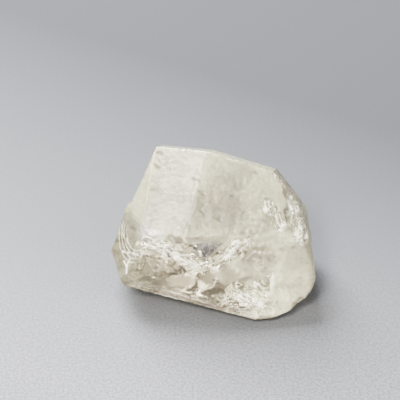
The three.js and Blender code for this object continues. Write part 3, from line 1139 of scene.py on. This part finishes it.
def topaz_material():
    """Clear topaz, whose frost, milk and colour are kept by the points of the mesh."""
    topaz = bpy.data.materials.new("topaz")
    topaz.use_nodes = True
    tree = topaz.node_tree
    nodes, links = tree.nodes, tree.links
    shader = nodes["Principled BSDF"]
    shader.inputs["IOR"].default_value = TOPAZ_INDEX

    def from_points(name, lowest, highest, socket):
        """Feeds a socket with a number that the points keep."""
        number = nodes.new("ShaderNodeAttribute")
        number.attribute_name = name
        links.new(mapped(tree, number.outputs["Fac"], lowest, highest), socket)

    from_points("frost", CLEAREST, ROUGHEST, shader.inputs["Roughness"])
    from_points("milk", 1.0, 0.0, shader.inputs["Transmission Weight"])
    colour = nodes.new("ShaderNodeAttribute")
    colour.attribute_name = "tint"
    links.new(colour.outputs["Color"], shader.inputs["Base Color"])

    bump = nodes.new("ShaderNodeBump")
    bump.inputs["Distance"].default_value = BUMP_DEPTH
    from_points("frost", LEAST_BUMP, MOST_BUMP, bump.inputs["Strength"])
    links.new(fine_noise(tree, BUMP_SIZE, BUMP_DETAIL), bump.inputs["Height"])
    links.new(bump.outputs["Normal"], shader.inputs["Normal"])

    body = nodes.new("ShaderNodeVolumeAbsorption")
    body.inputs["Color"].default_value = TINT
    body.inputs["Density"].default_value = TINT_PER_METRE
    links.new(body.outputs["Volume"], nodes["Material Output"].inputs["Volume"])
    return topaz


stone.data.materials.clear()
stone.data.materials.append(topaz_material())
print("topaz has", len(stone.data.materials[0].node_tree.nodes), "nodes")

# %% Smooth shading on the skin alone, and the stone's place in the frame
# The cracks stay faceted: each of their small faces is a mirror of its own.
first_of_face = np.empty(len(stone.data.polygons), dtype=np.int32)
stone.data.polygons.foreach_get("loop_start", first_of_face)
corner_verts = np.empty(len(stone.data.loops), dtype=np.int32)
stone.data.loops.foreach_get("vertex_index", corner_verts)
on_skin = corner_verts[first_of_face] < skin_count
stone.data.polygons.foreach_set("use_smooth", on_skin)
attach(stone, "root")
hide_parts("topaz_crystal")
triangles = int(sum(len(face.vertices) - 2 for face in stone.data.polygons))
print("the stone has", triangles, "triangles")

# %% [markdown]
# ## Floor
#
# The stone lies on a plain, pale grey sweep. Such a sweep falls off in brightness, because its
# light falls off too, but here the surround lights it evenly. So that falloff is painted shade:
# the paint itself goes from a near to a far grey, along a slant. A fine speckle, stronger in
# front, keeps it from looking like empty space.

# %% Floor mesh
FLOOR_GAP = 0.02 * MM
FLOOR_HALF_WIDTH = 1.5

floor_mesh = bpy.data.meshes.new("floor")
sweep = bmesh.new()
bmesh.ops.create_grid(sweep, x_segments=1, y_segments=1, size=FLOOR_HALF_WIDTH)
bmesh.ops.translate(sweep, verts=sweep.verts, vec=(0, 0, -FLOOR_GAP))
sweep.to_mesh(floor_mesh)
sweep.free()
floor = new_object("floor", floor_mesh)
print("the floor is", 2 * FLOOR_HALF_WIDTH, "m wide")

# %% The floor's two greys, with the light's falloff painted between them
FLOOR_NEAR = (0.195, 0.200, 0.213, 1)
FLOOR_FAR = (0.064, 0.068, 0.076, 1)
FADE_TURN = math.radians(-62)
FADE_START, FADE_END = -32 * MM, 48 * MM


def painted_falloff_grey(tree, place):
    """The near grey that turns to the far grey along a slant, as painted shade."""
    turn = tree.nodes.new("ShaderNodeMapping")
    turn.inputs["Rotation"].default_value = (0, 0, FADE_TURN)
    slant = tree.nodes.new("ShaderNodeSeparateXYZ")
    blend = tree.nodes.new("ShaderNodeMix")
    blend.data_type = "RGBA"
    blend.inputs["A"].default_value = FLOOR_NEAR
    blend.inputs["B"].default_value = FLOOR_FAR
    tree.links.new(place, turn.inputs["Vector"])
    tree.links.new(turn.outputs["Vector"], slant.inputs["Vector"])
    share = mapped(tree, slant.outputs["X"], 0.0, 1.0, FADE_START, FADE_END)
    tree.links.new(share, blend.inputs["Factor"])
    return blend.outputs["Result"]


# %% The floor's speckle
SPECKLE_SIZE, SPECKLE_DETAIL = 0.4 * MM, 2
SPECKLE_NEAR, SPECKLE_FAR = 1.3, 0.25
SPECKLE_START, SPECKLE_END = -30 * MM, 10 * MM
MEAN_NOISE = 0.5


def speckle(tree, place):
    """A number around 1 that makes the paint a little lighter or darker."""
    depth = tree.nodes.new("ShaderNodeSeparateXYZ")
    centred = tree.nodes.new("ShaderNodeMath")
    centred.operation = "SUBTRACT"
    centred.inputs[1].default_value = MEAN_NOISE
    light = tree.nodes.new("ShaderNodeMath")
    light.operation = "MULTIPLY_ADD"
    light.inputs[2].default_value = 1.0
    tree.links.new(place, depth.inputs["Vector"])
    y = depth.outputs["Y"]
    strength = mapped(tree, y, SPECKLE_NEAR, SPECKLE_FAR, SPECKLE_START, SPECKLE_END)
    tree.links.new(fine_noise(tree, SPECKLE_SIZE, SPECKLE_DETAIL), centred.inputs[0])
    tree.links.new(centred.outputs["Value"], light.inputs[0])
    tree.links.new(strength, light.inputs[1])
    return light.outputs["Value"]


# %% Floor paint
FLOOR_ROUGHNESS = 0.9


def floor_material():
    """Pale grey paint, darkened along a slant by painted shade, with a fine speckle."""
    paint = bpy.data.materials.new("floor_paint")
    paint.use_nodes = True
    tree = paint.node_tree
    shader = tree.nodes["Principled BSDF"]
    shader.inputs["Roughness"].default_value = FLOOR_ROUGHNESS
    place = place_of(tree, "Object")
    speckled = tree.nodes.new("ShaderNodeVectorMath")
    speckled.operation = "SCALE"
    tree.links.new(painted_falloff_grey(tree, place), speckled.inputs["Vector"])
    tree.links.new(speckle(tree, place), speckled.inputs["Scale"])
    tree.links.new(speckled.outputs["Vector"], shader.inputs["Base Color"])
    return paint


floor.data.materials.append(floor_material())
print("floor paint has", len(floor.data.materials[0].node_tree.nodes), "nodes")

# %% [markdown]
# ## Lights
#
# Light from behind goes through a clear stone and makes it glow against its own shadow, so the
# key light stands behind, to the left. Alone it would leave the front flat. A small warm light
# in front, to the left, makes the frosted faces and the flakes shine, and a weak one at the
# right keeps the worn end from going dark. Each is a square panel, as a softbox is.

# %% Softboxes
WHITE, WARM = (1.0, 1.0, 1.0), (1.0, 0.96, 0.88)
SOFTBOXES = [
    # name, bearing and rise in degrees, distance and width in metres, glow, colour
    ("key", -158, 36, 0.75, 0.42, 38.0, WHITE),
    ("fill", -31, 52, 0.75, 0.25, 34.0, WARM),
    ("side_fill", 75, 35, 0.75, 0.50, 3.5, WHITE),
]


def softbox(name, bearing, rise, distance, width, glow, colour):
    """A square panel that faces the stone. Its glow is how bright its face looks."""
    panel = bpy.data.lights.new(name, "AREA")
    panel.shape = "SQUARE"
    panel.size = width
    panel.energy = glow * math.pi * width * width
    panel.color = colour
    place = Vector(distance * direction(bearing, rise))
    made = bpy.data.objects.new(name, panel)
    made.location = place
    made.rotation_euler = (-place).to_track_quat("-Z", "Y").to_euler()
    bpy.context.scene.collection.objects.link(made)
    print(name, "shines with", round(panel.energy, 1), "W")


for box in SOFTBOXES:
    softbox(*box)

# %% [markdown]
# ## Surround
#
# A clear stone shows its whole surroundings, bent and mirrored, so there must be something
# around it. A real room would be distracting. A tent of dim, even light, a little brighter in
# front than behind, fills the facets softly.

# %% Surround
TENT_WHITE = (1.0, 0.995, 0.98, 1)
GLOW_BEHIND, GLOW_IN_FRONT = 0.24, 0.36
TENT_BACK, TENT_FRONT = 0.9, -0.9


def surround_world():
    """A tent of soft light: a little brighter in front than behind."""
    world = bpy.data.worlds.new("surround")
    world.use_nodes = True
    tree = world.node_tree
    background = tree.nodes["Background"]
    background.inputs["Color"].default_value = TENT_WHITE
    parts = tree.nodes.new("ShaderNodeSeparateXYZ")
    tree.links.new(place_of(tree, "Generated"), parts.inputs["Vector"])
    y = parts.outputs["Y"]
    glow = mapped(tree, y, GLOW_BEHIND, GLOW_IN_FRONT, TENT_BACK, TENT_FRONT, smooth=True)
    tree.links.new(glow, background.inputs["Strength"])
    return world


bpy.context.scene.world = surround_world()
print("the surround has", len(bpy.context.scene.world.node_tree.nodes), "nodes")

# %% [markdown]
# ## How light is traced and shown
#
# Light crosses many surfaces on its way through a cracked stone. If it is given up too early,
# the stone goes black inside, so its paths may be long. The Filmic view keeps detail in the
# brightest flakes, and its high contrast look keeps the shadows deep.

# %% Paths and view
LONGEST_PATH, MOST_MIRRORINGS = 24, 12

scene = bpy.context.scene
scene.cycles.use_denoising = True
scene.cycles.max_bounces = LONGEST_PATH
scene.cycles.transmission_bounces = LONGEST_PATH
scene.cycles.glossy_bounces = MOST_MIRRORINGS
scene.view_settings.view_transform = "Filmic"
scene.view_settings.look = "High Contrast"
print("light may meet", LONGEST_PATH, "surfaces")
